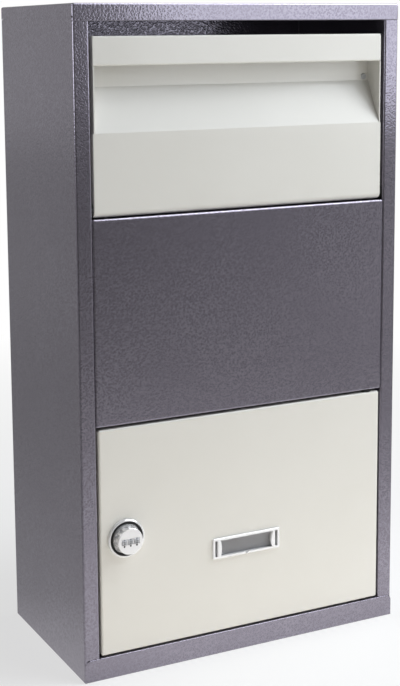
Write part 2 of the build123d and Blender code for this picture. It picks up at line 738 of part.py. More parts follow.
with BuildPart() as flap_stop_sleeves:
    for hand in (-1, 1):
        add(round_bar(side_on(0), stop_place, STOP_SLEEVE_RADIUS, hand * sleeve_end, hand * inside_half))
        bore_radius = STOP_STUD_RADIUS + SLIP_GAP
        bore = round_bar(side_on(0), stop_place, bore_radius, hand * sleeve_end, hand * inside_half)
        add(bore, mode=Mode.SUBTRACT)
flap_stop_sleeves.part.label = "flap_stop_sleeves"
export_step(flap_stop_sleeves.part, "parts/flap_stop_sleeves.step")

# Door

label_tub_half = LABEL_WIDTH / 2 - LABEL_RIM
label_tub_height = LABEL_HEIGHT - 2 * LABEL_RIM
label_inner_half = label_tub_half - LABEL_TUB_WALL
label_inner_height = label_tub_height - 2 * LABEL_TUB_WALL

with BuildPart() as door_panel:
    add(folded_pan(door_half, door_foot, door_top, door_face, door_rear))
    with BuildSketch(facing(door_face)) as door_holes:
        with Locations((lock_x, lock_z)):
            Circle(BARREL_RADIUS + SLIP_GAP)
            Rectangle(4 * BARREL_RADIUS, 2 * (BARREL_FLAT + SLIP_GAP), mode=Mode.INTERSECT)
        with Locations((0, label_z)):
            Rectangle(2 * (label_tub_half + LABEL_PLAY), label_tub_height + 2 * LABEL_PLAY)
    extrude(amount=-SHEET, mode=Mode.SUBTRACT)
    for fold in (door_foot, door_top):
        hole = round_bar(Plane.XY, (pin_x, pin_y), PIN_RADIUS + SLIP_GAP, fold - SHEET, fold + SHEET)
        add(hole, mode=Mode.SUBTRACT)
door_panel.part.label = "door_panel"
export_step(door_panel.part, "parts/door_panel.step")


def hinge_pin(fold_inside, away, reach):
    """Headed pin, its head on the inside of the door's fold, pointing up (1) or down (-1)."""
    with BuildPart() as pin:
        add(round_bar(Plane.XY, (pin_x, pin_y), PIN_HEAD_RADIUS, fold_inside - away * PIN_HEAD, fold_inside))
        add(round_bar(Plane.XY, (pin_x, pin_y), PIN_RADIUS, fold_inside, fold_inside + away * reach))
        tip = pin.faces().sort_by(Axis.Z)[-1 if away > 0 else 0]
        chamfer(tip.edges(), EDGE_EASE)
    return pin.part


with BuildPart() as door_hinge_pin_upper:
    add(hinge_pin(door_top - SHEET, 1, 2 * SHEET + DOOR_TOP_GAP + PIN_REACH))
door_hinge_pin_upper.part.label = "door_hinge_pin_upper"
export_step(door_hinge_pin_upper.part, "parts/door_hinge_pin_upper.step")

with BuildPart() as door_hinge_pin_lower:
    add(hinge_pin(door_foot + SHEET, -1, 2 * SHEET + DOOR_FOOT_GAP + PIN_REACH))
door_hinge_pin_lower.part.label = "door_hinge_pin_lower"
export_step(door_hinge_pin_lower.part, "parts/door_hinge_pin_lower.step")

with BuildPart() as door_hinge_washers:
    for start, end in ((sill_top, door_foot - SLIP_GAP), (door_top + SLIP_GAP, mid_foot)):
        add(round_bar(Plane.XY, (pin_x, pin_y), HINGE_WASHER_RADIUS, start, end))
        add(round_bar(Plane.XY, (pin_x, pin_y), PIN_RADIUS + RUN_GAP, start, end), mode=Mode.SUBTRACT)
door_hinge_washers.part.label = "door_hinge_washers"
export_step(door_hinge_washers.part, "parts/door_hinge_washers.step")

with BuildPart() as door_strike:
    lap_x = -(opening_half + SHEET + SHEET / 2)
    section = bent_strip(
        Plane.XY.offset(lock_z - STRIKE_HEIGHT / 2),
        (lap_x, return_rear - STRIKE_LAP),
        (lap_x, strike_face + SHEET / 2),
        (STRIKE_REACH - opening_half, strike_face + SHEET / 2),
    )
    extrude(section, amount=STRIKE_HEIGHT)
    for z in strike_rivet_z:
        add(
            round_bar(side_on(0), (strike_rivet_y, z), RIVET_RADIUS + SLIP_GAP, lap_x - SHEET, lap_x + SHEET),
            mode=Mode.SUBTRACT,
        )
door_strike.part.label = "door_strike"
export_step(door_strike.part, "parts/door_strike.step")

with BuildPart() as strike_rivets:
    for z in strike_rivet_z:
        add(rivet(side_on(0), (strike_rivet_y, z), -opening_half, 2 * SHEET))
strike_rivets.part.label = "strike_rivets"
export_step(strike_rivets.part, "parts/strike_rivets.step")

# Label holder: bezel and tub snapped into the door, card and clear window held under two bars

tub_rear = door_face + LABEL_TUB_DEPTH
tub_floor = tub_rear - LABEL_TUB_WALL
card_face = tub_floor - CARD_THICKNESS
window_face = card_face - WINDOW_THICKNESS
bridge_outer = label_inner_half - LABEL_SLOT
bridge_inner = bridge_outer - LABEL_BRIDGE
card_half = bridge_outer - FIT_GAP


def label_bridge(hand):
    """Bar over an end of the card: straight outside, bowed inside, its long edges rounded."""
    low = label_z - label_inner_height / 2
    high = label_z + label_inner_height / 2
    with BuildPart() as bridge:
        with BuildSketch(facing(window_face)):
            with BuildLine():
                Polyline(
                    (hand * bridge_inner, low),
                    (hand * bridge_outer, low),
                    (hand * bridge_outer, high),
                    (hand * bridge_inner, high),
                )
                ThreePointArc(
                    (hand * bridge_inner, high),
                    (hand * (bridge_inner - LABEL_BRIDGE_BULGE), label_z),
                    (hand * bridge_inner, low),
                )
            make_face()
        extrude(amount=LABEL_BRIDGE_THICKNESS)
        front_face = bridge.faces().sort_by(Axis.Y)[0]
        fillet(front_face.edges().filter_by(Axis.X, reverse=True), LABEL_BRIDGE_ROUND)
    return bridge.part


with BuildPart() as label_holder:
    with BuildSketch(facing(door_face)):
        with Locations((0, label_z)):
            RectangleRounded(LABEL_WIDTH, LABEL_HEIGHT, LABEL_RIM)
    extrude(amount=LABEL_PROUD)
    fillet(label_holder.faces().sort_by(Axis.Y)[0].edges(), EDGE_EASE)
    with BuildSketch(facing(door_face)):
        with Locations((0, label_z)):
            Rectangle(2 * label_tub_half, label_tub_height)
    extrude(amount=-LABEL_TUB_DEPTH)
    with BuildSketch(facing(tub_floor)):
        with Locations((0, label_z)):
            Rectangle(2 * label_inner_half, label_inner_height)
    extrude(amount=LABEL_TUB_DEPTH + LABEL_PROUD, mode=Mode.SUBTRACT)
    for hand in (-1, 1):
        add(label_bridge(hand))
        with BuildSketch(facing(tub_rear)):
            with Locations((hand * (bridge_outer + LABEL_SLOT / 2), label_z)):
                Rectangle(LABEL_SLOT, label_inner_height)
        extrude(amount=LABEL_TUB_WALL, mode=Mode.SUBTRACT)
    for side in (-1, 1):
        with BuildSketch(facing(door_back_of_sheet)):
            with Locations((0, label_z + side * label_tub_height / 2)):
                Rectangle(LABEL_BARB_LENGTH, 2 * LABEL_BARB)
        extrude(amount=-LABEL_TUB_WALL)
    with BuildSketch(facing(door_face)):
        with Locations((0, label_z - label_inner_height / 2)):
            Circle(LABEL_NOTCH_RADIUS)
    extrude(amount=LABEL_PROUD, mode=Mode.SUBTRACT)
label_holder.part.label = "label_holder"
export_step(label_holder.part, "parts/label_holder.step")

with BuildPart() as label_card:
    with BuildSketch(facing(tub_floor)):
        with Locations((0, label_z)):
            Rectangle(2 * card_half, label_inner_height - 2 * LABEL_PLAY)
    extrude(amount=CARD_THICKNESS)
label_card.part.label = "label_card"
export_step(label_card.part, "parts/label_card.step")

with BuildPart() as label_window:
    with BuildSketch(facing(card_face)):
        with Locations((0, label_z)):
            Rectangle(2 * card_half, label_inner_height - 2 * LABEL_PLAY)
    extrude(amount=WINDOW_THICKNESS)
label_window.part.label = "label_window"
export_step(label_window.part, "parts/label_window.step")

# Lock

lock_axis = Axis((lock_x, 0, lock_z), (0, 1, 0))
lock_profile = Plane(origin=(lock_x, 0, lock_z), x_dir=(1, 0, 0), z_dir=(0, 0, 1))
flange_front = door_face - LOCK_FLANGE
spindle_bore = SPINDLE_RADIUS + RUN_GAP

with BuildPart() as lock_housing:
    with BuildSketch(lock_profile):
        with BuildLine():
            Polyline(
                (spindle_bore, barrel_rear),
                (BARREL_RADIUS, barrel_rear),
                (BARREL_RADIUS, door_face),
                (LOCK_FLANGE_RADIUS, door_face),
                (LOCK_FLANGE_RADIUS, flange_front + EDGE_EASE),
                (LOCK_FLANGE_RADIUS - EDGE_EASE, flange_front),
                (LOCK_SEAT_RADIUS, flange_front),
                (LOCK_SEAT_RADIUS, flange_front + LOCK_SEAT_DEPTH),
                (spindle_bore, flange_front + LOCK_SEAT_DEPTH),
                close=True,
            )
        make_face()
    revolve(axis=lock_axis)
    with BuildSketch(facing(door_face)):
        with Locations((lock_x, lock_z)):
            Rectangle(4 * BARREL_RADIUS, 4 * BARREL_RADIUS)
            Rectangle(4 * BARREL_RADIUS, 2 * BARREL_FLAT, mode=Mode.SUBTRACT)
    extrude(amount=door_face - barrel_rear, mode=Mode.SUBTRACT)
lock_housing.part.label = "lock_housing"
export_step(lock_housing.part, "parts/lock_housing.step")

with BuildPart() as lock_seal:
    with BuildSketch(facing(flange_front + LOCK_SEAT_DEPTH)):
        with Locations((lock_x, lock_z)):
            Circle(LOCK_SEAT_RADIUS - SLIP_GAP)
            Circle(KNOB_BASE_RADIUS + FIT_GAP, mode=Mode.SUBTRACT)
    extrude(amount=LOCK_SEAT_DEPTH - SEAL_DROP)
    fillet(lock_seal.faces().sort_by(Axis.Y)[0].edges(), SEAL_EDGE)
lock_seal.part.label = "lock_seal"
export_step(lock_seal.part, "parts/lock_seal.step")

with BuildPart() as lock_washer:
    with BuildSketch(facing(door_back_of_sheet)):
        with Locations((lock_x, lock_z)):
            Circle(LOCK_WASHER_RADIUS)
            Circle(BARREL_RADIUS + SLIP_GAP, mode=Mode.SUBTRACT)
            with PolarLocations(LOCK_WASHER_RADIUS, LOCK_WASHER_TEETH):
                Rectangle(LOCK_WASHER_NOTCH, LOCK_WASHER_NOTCH_WIDTH, mode=Mode.SUBTRACT)
    extrude(amount=-LOCK_WASHER)
lock_washer.part.label = "lock_washer"
export_step(lock_washer.part, "parts/lock_washer.step")

nut_face = door_back_of_sheet + LOCK_WASHER

with BuildPart() as lock_nut:
    with BuildSketch(facing(nut_face)):
        with Locations((lock_x, lock_z)):
            RegularPolygon(NUT_ACROSS / 2, 6, major_radius=False)
            Circle(BARREL_RADIUS + SLIP_GAP, mode=Mode.SUBTRACT)
    extrude(amount=-NUT_THICKNESS)
lock_nut.part.label = "lock_nut"
export_step(lock_nut.part, "parts/lock_nut.step")

with BuildPart() as lock_knob:
    with BuildSketch(lock_profile):
        with BuildLine():
            Polyline(
                (0, knob_face),
                (KNOB_FACE_RADIUS, knob_face),
                (KNOB_BASE_RADIUS, knob_base),
                (SPINDLE_RADIUS, knob_base),
                (SPINDLE_RADIUS, cam_front),
                (0, cam_front),
                close=True,
            )
        make_face()
    revolve(axis=lock_axis)
    fillet(lock_knob.faces().sort_by(Axis.Y)[0].edges(), KNOB_EDGE)
    with BuildSketch(facing(cam_front)):
        with Locations((lock_x, lock_z)):
            Rectangle(SPINDLE_SQUARE, SPINDLE_SQUARE)
    extrude(amount=cam_front - cam_rear + SLIP_GAP)
    flute_centre = KNOB_FACE_RADIUS + KNOB_FLUTE_RADIUS - KNOB_FLUTE_DEPTH
    with BuildSketch(facing(knob_base - KNOB_COLLAR)):
        with Locations((lock_x, lock_z)):
            with PolarLocations(flute_centre, KNOB_FLUTES):
                Circle(KNOB_FLUTE_RADIUS)
    extrude(amount=KNOB_HEIGHT - KNOB_COLLAR - KNOB_RIM, mode=Mode.SUBTRACT)
    for x in wheel_x:
        half_slot = WHEEL_WIDTH / 2 + FIT_GAP
        pocket_radius = WHEEL_RADIUS + FIT_GAP
        pocket = round_bar(side_on(0), (wheel_y, lock_z), pocket_radius, x - half_slot, x + half_slot)
        add(pocket, mode=Mode.SUBTRACT)
    axle_hole = round_bar(
        side_on(0),
        (wheel_y, lock_z),
        AXLE_RADIUS + SLIP_GAP,
        lock_x - AXLE_LENGTH / 2,
        lock_x + KNOB_BASE_RADIUS,
    )
    add(axle_hole, mode=Mode.SUBTRACT)
    screw_hole = round_bar(
        facing(0), (lock_x, lock_z), CAM_SCREW_RADIUS, -cam_rear, -cam_rear + CAM_SCREW_LENGTH + FIT_GAP
    )
    add(screw_hole, mode=Mode.SUBTRACT)
lock_knob.part.label = "lock_knob"
export_step(lock_knob.part, "parts/lock_knob.step")

with BuildPart() as dial_axle:
    add(
        round_bar(
            side_on(0), (wheel_y, lock_z), AXLE_RADIUS, lock_x - AXLE_LENGTH / 2, lock_x + AXLE_LENGTH / 2
        )
    )
dial_axle.part.label = "dial_axle"
export_step(dial_axle.part, "parts/dial_axle.step")


def number_wheel(x):
    """Number wheel on the axle, with a notch between each pair of numbers."""
    with BuildPart() as wheel:
        with BuildSketch(side_on(x - WHEEL_WIDTH / 2)):
            with Locations((wheel_y, lock_z)):
                Circle(WHEEL_RADIUS)
                Circle(AXLE_RADIUS + RUN_GAP, mode=Mode.SUBTRACT)
                with PolarLocations(WHEEL_RADIUS, WHEEL_NOTCHES, start_angle=180 / WHEEL_NOTCHES):
                    Circle(WHEEL_NOTCH_RADIUS, mode=Mode.SUBTRACT)
        extrude(amount=WHEEL_WIDTH)
    return wheel.part


with BuildPart() as number_wheel_left:
    add(number_wheel(wheel_x[0]))
number_wheel_left.part.label = "number_wheel_left"
export_step(number_wheel_left.part, "parts/number_wheel_left.step")

with BuildPart() as number_wheel_middle:
    add(number_wheel(wheel_x[1]))
number_wheel_middle.part.label = "number_wheel_middle"
export_step(number_wheel_middle.part, "parts/number_wheel_middle.step")

with BuildPart() as number_wheel_right:
    add(number_wheel(wheel_x[2]))
number_wheel_right.part.label = "number_wheel_right"
export_step(number_wheel_right.part, "parts/number_wheel_right.step")

with BuildPart() as lock_cam:
    with BuildSketch(facing(cam_rear)):
        with Locations((lock_x, lock_z)):
            Circle(CAM_WIDTH / 2)
        with Locations((lock_x, lock_z + CAM_REACH - CAM_TIP_RADIUS)):
            Circle(CAM_TIP_RADIUS)
        make_hull()
        with Locations((lock_x, lock_z)):
            Rectangle(SPINDLE_SQUARE, SPINDLE_SQUARE, mode=Mode.SUBTRACT)
    extrude(amount=CAM_THICKNESS)
lock_cam.part.label = "lock_cam"
export_step(lock_cam.part, "parts/lock_cam.step")

with BuildPart() as cam_screw:
    with BuildSketch(facing(cam_rear)):
        with Locations((lock_x, lock_z)):
            RegularPolygon(CAM_SCREW_HEAD_RADIUS, 6)
    extrude(amount=-CAM_SCREW_HEAD)
    add(
        round_bar(facing(0), (lock_x, lock_z), CAM_SCREW_RADIUS, -cam_rear, -cam_rear + CAM_SCREW_LENGTH)
    )
cam_screw.part.label = "cam_screw"
export_step(cam_screw.part, "parts/cam_screw.step")

print(f"spring self gap {spring_self_gap():.2f} mm")
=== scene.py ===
import json
import math

import bmesh
import bpy
from mathutils import Matrix, Vector


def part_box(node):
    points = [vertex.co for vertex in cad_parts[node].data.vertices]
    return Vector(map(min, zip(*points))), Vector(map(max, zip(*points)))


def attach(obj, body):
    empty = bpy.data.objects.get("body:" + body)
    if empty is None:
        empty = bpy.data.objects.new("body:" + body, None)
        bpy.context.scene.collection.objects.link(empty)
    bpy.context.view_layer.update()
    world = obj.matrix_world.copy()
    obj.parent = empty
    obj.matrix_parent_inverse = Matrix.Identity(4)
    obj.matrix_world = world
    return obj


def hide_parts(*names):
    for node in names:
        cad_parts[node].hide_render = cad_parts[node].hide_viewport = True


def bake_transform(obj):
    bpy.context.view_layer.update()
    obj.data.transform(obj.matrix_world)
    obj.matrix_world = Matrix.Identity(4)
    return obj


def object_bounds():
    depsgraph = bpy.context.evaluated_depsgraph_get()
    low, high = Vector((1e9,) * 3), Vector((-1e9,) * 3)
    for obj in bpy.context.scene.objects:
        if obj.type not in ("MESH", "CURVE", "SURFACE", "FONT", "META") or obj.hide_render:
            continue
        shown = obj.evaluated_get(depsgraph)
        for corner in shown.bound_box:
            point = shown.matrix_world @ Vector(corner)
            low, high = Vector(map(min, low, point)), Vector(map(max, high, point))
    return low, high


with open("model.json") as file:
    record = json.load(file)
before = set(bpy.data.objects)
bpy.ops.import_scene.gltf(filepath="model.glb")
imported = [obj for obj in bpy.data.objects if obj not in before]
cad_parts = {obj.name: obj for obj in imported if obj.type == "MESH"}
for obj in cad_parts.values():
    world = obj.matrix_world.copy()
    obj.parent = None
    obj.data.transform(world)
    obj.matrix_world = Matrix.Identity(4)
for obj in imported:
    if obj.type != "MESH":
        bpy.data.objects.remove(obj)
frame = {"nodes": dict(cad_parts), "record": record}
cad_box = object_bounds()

MM = 0.001
nodes = frame["nodes"]


def linear(hex_colour):
    """An sRGB hex colour as a linear one."""
    parts = [int(hex_colour[i : i + 2], 16) / 255 for i in (1, 3, 5)]
    return [p / 12.92 if p <= 0.04045 else ((p + 0.055) / 1.055) ** 2.4 for p in parts] + [1.0]


def per_metre(size_mm):
    """Scale of a pattern whose cells are that many millimetres wide."""
    return 1.0 / (size_mm * MM)


def add(tree, kind, inputs=None, **settings):
    """Adds a node, sets it up, and fills its inputs with values or with other nodes' outputs."""
    new = tree.nodes.new(kind)
    for name, value in settings.items():
        setattr(new, name, value)
    for socket, value in (inputs or {}).items():
        if isinstance(value, bpy.types.NodeSocket):
            tree.links.new(value, new.inputs[socket])
        else:
            new.inputs[socket].default_value = value
    return new


def finish_named(name):
    """An empty material, its node tree, a surface point's place in the part's own frame, and the output."""
    material = bpy.data.materials.new(name)
    material.use_nodes = True
    tree = material.node_tree
    tree.nodes.clear()
    place = add(tree, "ShaderNodeTexCoord").outputs["Object"]
    output = add(tree, "ShaderNodeOutputMaterial")
    return material, tree, place, output


# Hammertone enamel, sprayed and stoved: metal flake paint that draws into shiny pools about 2 mm across, with
# low ridges between them. The eye sees a dark violet grey sheet that breaks into speckle at a lamp's edge.
def hammertone_enamel(name, ridges):
    material, tree, place, output = finish_named(name)
    wander = add(tree, "ShaderNodeTexNoise", {"Vector": place, "Scale": per_metre(4.0), "Detail": 1.0})
    nudge = add(
        tree,
        "ShaderNodeVectorMath",
        {0: wander.outputs["Color"], 1: (1.1 * MM, 1.1 * MM, 1.1 * MM)},
        operation="MULTIPLY",
    )
    moved = add(tree, "ShaderNodeVectorMath", {0: place, 1: nudge.outputs[0]}, operation="ADD")
    pools = add(
        tree,
        "ShaderNodeTexVoronoi",
        {"Vector": moved.outputs[0], "Scale": per_metre(2.0), "Smoothness": 0.35},
        feature="SMOOTH_F1",
    )
    flake = add(tree, "ShaderNodeTexNoise", {"Vector": place, "Scale": per_metre(0.9), "Detail": 2.0})
    drift = add(tree, "ShaderNodeTexNoise", {"Vector": place, "Scale": per_metre(70.0), "Detail": 2.0})
    ridge = add(
        tree,
        "ShaderNodeMapRange",
        {"Value": pools.outputs["Distance"], "From Min": 0.15, "From Max": 0.75},
        interpolation_type="SMOOTHSTEP",
    )
    pool_colour = add(
        tree,
        "ShaderNodeMix",
        {"Factor": ridge.outputs[0], 6: linear("#837d89"), 7: linear("#a39fab")},
        data_type="RGBA",
    )
    colour = add(
        tree,
        "ShaderNodeMix",
        {"Factor": drift.outputs["Fac"], 6: pool_colour.outputs[2], 7: linear("#908b97")},
        data_type="RGBA",
    )
    gloss = add(tree, "ShaderNodeMapRange", {"Value": flake.outputs["Fac"], "To Min": 0.11, "To Max": 0.2})
    relief = add(
        tree,
        "ShaderNodeMath",
        {0: flake.outputs["Fac"], 1: 0.25, 2: ridge.outputs[0]},
        operation="MULTIPLY_ADD",
    )
    bump = add(
        tree,
        "ShaderNodeBump",
        {"Height": relief.outputs[0], "Strength": ridges, "Distance": 0.12 * MM},
    )
    shader = add(
        tree,
        "ShaderNodeBsdfPrincipled",
        {
            "Base Color": colour.outputs[2],
            "Roughness": gloss.outputs[0],
            "Normal": bump.outputs["Normal"],
            "Metallic": 0.8,
        },
    )
    tree.links.new(shader.outputs[0], output.inputs["Surface"])
    return material


# Polyester powder coat, baked: a smooth cream skin with a faint orange peel that softens what it reflects.
def cream_powder_coat():
    material, tree, place, output = finish_named("cream_powder_coat_baked")
    peel = add(tree, "ShaderNodeTexNoise", {"Vector": place, "Scale": per_metre(1.8), "Detail": 1.5})
    cloud = add(tree, "ShaderNodeTexNoise", {"Vector": place, "Scale": per_metre(90.0), "Detail": 2.0})
    colour = add(
        tree,
        "ShaderNodeMix",
        {"Factor": cloud.outputs["Fac"], 6: linear("#dad9d2"), 7: linear("#e0dfd9")},
        data_type="RGBA",
    )
    gloss = add(tree, "ShaderNodeMapRange", {"Value": peel.outputs["Fac"], "To Min": 0.12, "To Max": 0.2})
    bump = add(
        tree,
        "ShaderNodeBump",
        {"Height": peel.outputs["Fac"], "Strength": 0.12, "Distance": 0.08 * MM},
    )
    shader = add(
        tree,
        "ShaderNodeBsdfPrincipled",
        {
            "Base Color": colour.outputs[2],
            "Roughness": gloss.outputs[0],
            "Normal": bump.outputs["Normal"],
            "IOR": 1.5,
        },
    )
    tree.links.new(shader.outputs[0], output.inputs["Surface"])
    return material


# Plain metals: each is a tinted mirror whose roughness and tiny scratches follow how it was worked. Where its
# share of metal is below 1, the matt rest of its pale colour is a painted reflection of the bright room, so it
# looks milky.
def worked_metal(
    name, low_hex, high_hex, smooth, rough, grain_mm, relief_mm, stretch=(1.0, 1.0, 1.0), metal=1.0
):
    material, tree, place, output = finish_named(name)
    along = add(tree, "ShaderNodeMapping", {"Vector": place, "Scale": stretch})
    grain = add(
        tree,
        "ShaderNodeTexNoise",
        {"Vector": along.outputs["Vector"], "Scale": per_metre(grain_mm), "Detail": 3.0},
    )
    colour = add(
        tree,
        "ShaderNodeMix",
        {"Factor": grain.outputs["Fac"], 6: linear(low_hex), 7: linear(high_hex)},
        data_type="RGBA",
    )
    gloss = add(
        tree,
        "ShaderNodeMapRange",
        {"Value": grain.outputs["Fac"], "To Min": smooth, "To Max": rough},
    )
    bump = add(
        tree,
        "ShaderNodeBump",
        {"Height": grain.outputs["Fac"], "Strength": 0.1, "Distance": relief_mm * MM},
    )
    shader = add(
        tree,
        "ShaderNodeBsdfPrincipled",
        {
            "Base Color": colour.outputs[2],
            "Roughness": gloss.outputs[0],
            "Normal": bump.outputs["Normal"],
            "Metallic": metal,
        },
    )
    tree.links.new(shader.outputs[0], output.inputs["Surface"])
    return material


# Moulded or cut non-metals: one colour that drifts a little, with a fine grain in gloss and relief.
def moulded(name, low_hex, high_hex, smooth, rough, grain_mm, relief_mm, ior=1.5):
    material, tree, place, output = finish_named(name)
    grain = add(tree, "ShaderNodeTexNoise", {"Vector": place, "Scale": per_metre(grain_mm), "Detail": 4.0})
    colour = add(
        tree,
        "ShaderNodeMix",
        {"Factor": grain.outputs["Fac"], 6: linear(low_hex), 7: linear(high_hex)},
        data_type="RGBA",
    )
    gloss = add(
        tree,
        "ShaderNodeMapRange",
        {"Value": grain.outputs["Fac"], "To Min": smooth, "To Max": rough},
    )
    bump = add(
        tree,
        "ShaderNodeBump",
        {"Height": grain.outputs["Fac"], "Strength": 0.15, "Distance": relief_mm * MM},
    )
    shader = add(
        tree,
        "ShaderNodeBsdfPrincipled",
        {
            "Base Color": colour.outputs[2],
            "Roughness": gloss.outputs[0],
            "Normal": bump.outputs["Normal"],
            "IOR": ior,
        },
    )
    tree.links.new(shader.outputs[0], output.inputs["Surface"])
    return material


# Acrylic sheet, cast: clear, with the faintest waviness in what it mirrors. Light passes it straight to the card.
def acrylic_sheet():
    material, tree, place, output = finish_named("acrylic_sheet_cast")
    wave = add(tree, "ShaderNodeTexNoise", {"Vector": place, "Scale": per_metre(12.0), "Detail": 1.0})
    bump = add(
        tree,
        "ShaderNodeBump",
        {"Height": wave.outputs["Fac"], "Strength": 0.05, "Distance": 0.05 * MM},
    )
    shader = add(
        tree,
        "ShaderNodeBsdfPrincipled",
        {
            "Base Color": linear("#f6f7f8"),
            "Roughness": 0.06,
            "Normal": bump.outputs["Normal"],
            "Transmission Weight": 1.0,
            "IOR": 1.49,
        },
    )
    clear = add(tree, "ShaderNodeBsdfTransparent", {"Color": linear("#f6f7f8")})
    path = add(tree, "ShaderNodeLightPath")
    to_the_card = add(
        tree,
        "ShaderNodeMath",
        {0: path.outputs["Is Shadow Ray"], 1: path.outputs["Is Diffuse Ray"]},
        operation="MAXIMUM",
    )
    pane = add(
        tree,
        "ShaderNodeMixShader",
        {0: to_the_card.outputs[0], 1: shader.outputs[0], 2: clear.outputs[0]},
    )
    tree.links.new(pane.outputs[0], output.inputs["Surface"])
    return material


finishes = {
    "hammertone": hammertone_enamel("hammertone_enamel_stoved", 0.38),
    "cream_coat": cream_powder_coat(),
    # Painted reflection: under half metal, so the knob's near-white matt share stands in for the white room it
    # mirrors.
    "chrome": worked_metal("chrome_plate_satin", "#f3f3f4", "#fafafa", 0.1, 0.18, 3.0, 0.01, metal=0.45),
    # Painted highlight in part: the matt share of the pale zinc lightens the rivet heads and pins as a glint
    # would.
    "zinc": worked_metal("zinc_plate_passivated", "#b9bcc0", "#d0d2d2", 0.3, 0.44, 1.2, 0.02, metal=0.6),
    "spring_wire": worked_metal(
        "spring_steel_drawn", "#8b8c8f", "#a3a4a6", 0.24, 0.38, 1.0, 0.02, stretch=(1.0, 0.2, 0.2)
    ),
    "nylon": moulded("black_nylon_moulded", "#131314", "#1d1d1f", 0.45, 0.58, 0.8, 0.03, ior=1.53),
    "rubber": moulded("black_rubber_moulded", "#141414", "#1e1e1d", 0.65, 0.8, 0.6, 0.05, ior=1.52),
    "card": moulded("grey_card_uncoated", "#8e8d8e", "#979697", 0.85, 0.95, 0.7, 0.03),
    "window": acrylic_sheet(),
    "dial": worked_metal("nickel_plate_satin", "#c9cacc", "#d4d4d5", 0.42, 0.52, 0.8, 0.01),
    "ink": moulded("black_enamel_filled", "#060606", "#0c0c0c", 0.75, 0.85, 0.4, 0.01),
}

# Every sheet, pin and fitting of the frame takes the finish of its slot. The back panel's coat is thicker, so its
# ridges are higher.
own_finish = {"back_panel": hammertone_enamel("hammertone_enamel_thick", 0.8)}
slot_of = {entry["node"]: entry["material_slot"] for entry in frame["record"]["subparts"]}
for name, node in nodes.items():
    node.data.materials.clear()
    node.data.materials.append(own_finish.get(name, finishes[slot_of[name]]))

# Flap springs: on the real box each coil winds up as the flap tips, and the middle panel holds its inner leg, a
# cheek its outer one. The wire is a fixed copy of the solid without the frame's own marks.
for name in ("flap_spring_left", "flap_spring_right"):
    spring = nodes[name].copy()
    spring.data = nodes[name].data.copy()
    spring.name = name + "_wire"
    spring.parent = None
    for key in list(spring.keys()):
        del spring[key]
    bpy.context.scene.collection.objects.link(spring)
    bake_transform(spring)
    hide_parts(name)


def wrapped_number(text, height, radius, angle):
    """Vertices and faces of a number laid round a wheel, angle counted from the front, upwards."""
    curve = bpy.data.curves.new("number_outline", "FONT")
    curve.body = text
    curve.align_x = "CENTER"
    curve.align_y = "CENTER"
    curve.size = height / 0.7
    curve.offset = 0.03 * height
    outline = bpy.data.objects.new("number_outline", curve)
    bpy.context.scene.collection.objects.link(outline)
    bpy.context.view_layer.update()
    flat = bpy.data.meshes.new_from_object(outline.evaluated_get(bpy.context.evaluated_depsgraph_get()))
    bpy.data.objects.remove(outline)
    bpy.data.curves.remove(curve)
    shape = bmesh.new()
    shape.from_mesh(flat)
    bpy.data.meshes.remove(flat)
    bmesh.ops.triangulate(shape, faces=shape.faces)
    bmesh.ops.subdivide_edges(shape, edges=shape.edges, cuts=3, use_grid_fill=True)
    points = []
    for vertex in shape.verts:
        turn = angle + vertex.co.y / radius
        points.append((vertex.co.x, -radius * math.cos(turn), radius * math.sin(turn)))
    shape.verts.index_update()
    faces = [[vertex.index for vertex in face.verts] for face in shape.faces]
    shape.free()
    return points, faces


def joined(name, pieces, middle):
    """One mesh from several sets of points and faces, set down round its middle."""
    points, faces = [], []
    for more_points, more_faces in pieces:
        start = len(points)
        points += [Vector(p) + middle for p in more_points]
        faces += [[start + index for index in face] for face in more_faces]
    mesh = bpy.data.meshes.new(name)
    mesh.from_pydata(points, [], faces)
    mesh.update()
    piece = bpy.data.objects.new(name, mesh)
    bpy.context.scene.collection.objects.link(piece)
    return piece


# Numbers on the dial wheels, filled with black: the one that faces out is 1.
WHEELS = ("left", "middle", "right")
FIGURES = 10
FRONT_FIGURE = 1
NUMBER_HEIGHT = 2.1 * MM
NUMBER_LIFT = 0.04 * MM
for wheel in WHEELS:
    low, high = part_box("number_wheel_" + wheel)
    middle = (low + high) / 2
    radius = (high.y - low.y) / 2 + NUMBER_LIFT
    numbers = []
    for step in range(FIGURES):
        figure = str((FRONT_FIGURE + step) % FIGURES)
        numbers.append(wrapped_number(figure, NUMBER_HEIGHT, radius, -math.radians(360 / FIGURES * step)))
    ring = joined(f"wheel_numbers_{wheel}", numbers, middle)
    ring.data.materials.append(finishes["ink"])
    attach(ring, "wheel_" + wheel)

# Index dots on the knob, one below each wheel, filled with black: the number above the dot counts.
DOT_RADIUS = 0.85 * MM
DOT_BELOW = 3.9 * MM
DOT_SIDES = 24
knob_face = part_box("lock_knob")[0].y - NUMBER_LIFT
dots = []
for wheel in WHEELS:
    low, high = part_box("number_wheel_" + wheel)
    x, z = (low.x + high.x) / 2, (low.z + high.z) / 2 - DOT_BELOW
    rim = [math.tau * step / DOT_SIDES for step in range(DOT_SIDES)]
    points = [(x + DOT_RADIUS * math.cos(a), knob_face, z + DOT_RADIUS * math.sin(a)) for a in rim]
    dots.append((points, [list(range(DOT_SIDES))]))
index_dots = joined("knob_index_dots", dots, Vector())
index_dots.data.materials.append(finishes["ink"])
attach(index_dots, "knob")

# Studio: a tall soft lamp at the front right, a smaller one beside it, a strip above and the floor's bounce below.
# The panel at the left lights nothing matt: it only shows as a bright line in glossy folds.
COOL_WHITE, WARM_WHITE = "#f5f9ff", "#fff3e4"
BOUNCE_LIFT = 3 * MM
scene = bpy.context.scene
scene.view_settings.view_transform = "Standard"
floor_z = cad_box[0].z


